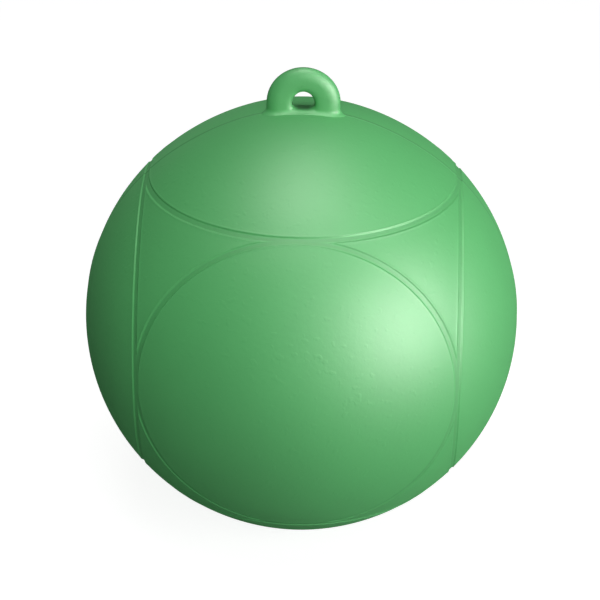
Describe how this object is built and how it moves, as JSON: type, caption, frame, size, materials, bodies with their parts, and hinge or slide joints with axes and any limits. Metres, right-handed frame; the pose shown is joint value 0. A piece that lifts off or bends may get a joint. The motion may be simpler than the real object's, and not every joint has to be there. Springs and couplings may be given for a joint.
{
  "type": "slalom course buoy",
  "caption": "Inflatable vinyl ball with ring grooves, a moulded rope eye on top and a flush screw valve, moored afloat to mark a water ski slalom course.",
  "frame": {"origin": "centre of the ball, in the plane of the water's surface when it is moored", "axes": "+Z from the ball's centre through the rope eye, +Y along the eye's hole towards the back, where the valve is, +X to the right seen from the front"},
  "size_m": [0.2286, 0.2286, 0.2577],
  "materials": {
    "vinyl": "satin green moulded vinyl with a fine grain",
    "nylon": "plain off-white moulded nylon"
  },
  "bodies": {
    "buoy": {"ball_skin": "vinyl", "rope_eye": "vinyl", "valve_bush": "nylon"},
    "valve": {"valve_screw": "nylon"}
  },
  "joints": [
    {"name": "valve_turn", "type": "hinge", "parent": "buoy", "child": "valve", "pos_m": [0, 0.06198, 0.09544], "axis": [0, 0.5446, 0.8387], "range_deg": [0, 1170]}
  ]
}
